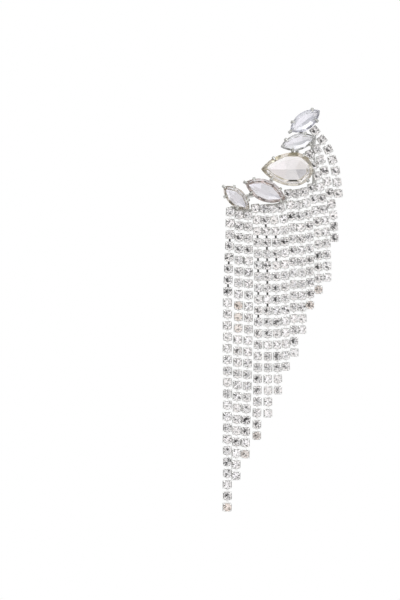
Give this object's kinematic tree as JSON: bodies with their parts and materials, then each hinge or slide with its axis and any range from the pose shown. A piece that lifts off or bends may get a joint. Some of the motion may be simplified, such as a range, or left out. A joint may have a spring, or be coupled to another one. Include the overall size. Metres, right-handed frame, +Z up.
{
  "type": "tassel earring",
  "caption": "Long tassel earring for a pierced ear: claw-set faceted stones in a slanting cluster over a stepped fringe of rhinestone cup chains, held by a post.",
  "frame": {"origin": "root of the ear post, at the centre of its pad's face that rests against the ear lobe", "axes": "+Z up along the hanging strands, the front of the stones faces -Y, and the post points along +Y into the ear"},
  "size_m": [0.0393, 0.0181, 0.1311],
  "materials": {
    "plated_metal": "bright silver-tone plating over brass",
    "foiled_glass": "clear cut glass with a silver foil back",
    "rhinestone_chain": "bright plated cups, each with a clear foiled chaton"
  },
  "bodies": {
    "root": {"claw_frame": "plated_metal", "ear_post": "plated_metal", "stone_navette_top": "foiled_glass", "stone_navette_upper": "foiled_glass", "stone_pear": "foiled_glass", "stone_navette_wide": "foiled_glass", "stone_navette_lower": "foiled_glass", "fringe_strand_01": "rhinestone_chain", "fringe_strand_02": "rhinestone_chain", "fringe_strand_03": "rhinestone_chain", "fringe_strand_04": "rhinestone_chain", "fringe_strand_05": "rhinestone_chain", "fringe_strand_06": "rhinestone_chain", "fringe_strand_07": "rhinestone_chain", "fringe_strand_08": "rhinestone_chain", "fringe_strand_09": "rhinestone_chain", "fringe_strand_10": "rhinestone_chain", "fringe_strand_11": "rhinestone_chain", "fringe_strand_12": "rhinestone_chain", "fringe_strand_13": "rhinestone_chain", "fringe_strand_14": "rhinestone_chain"}
  },
  "joints": []
}
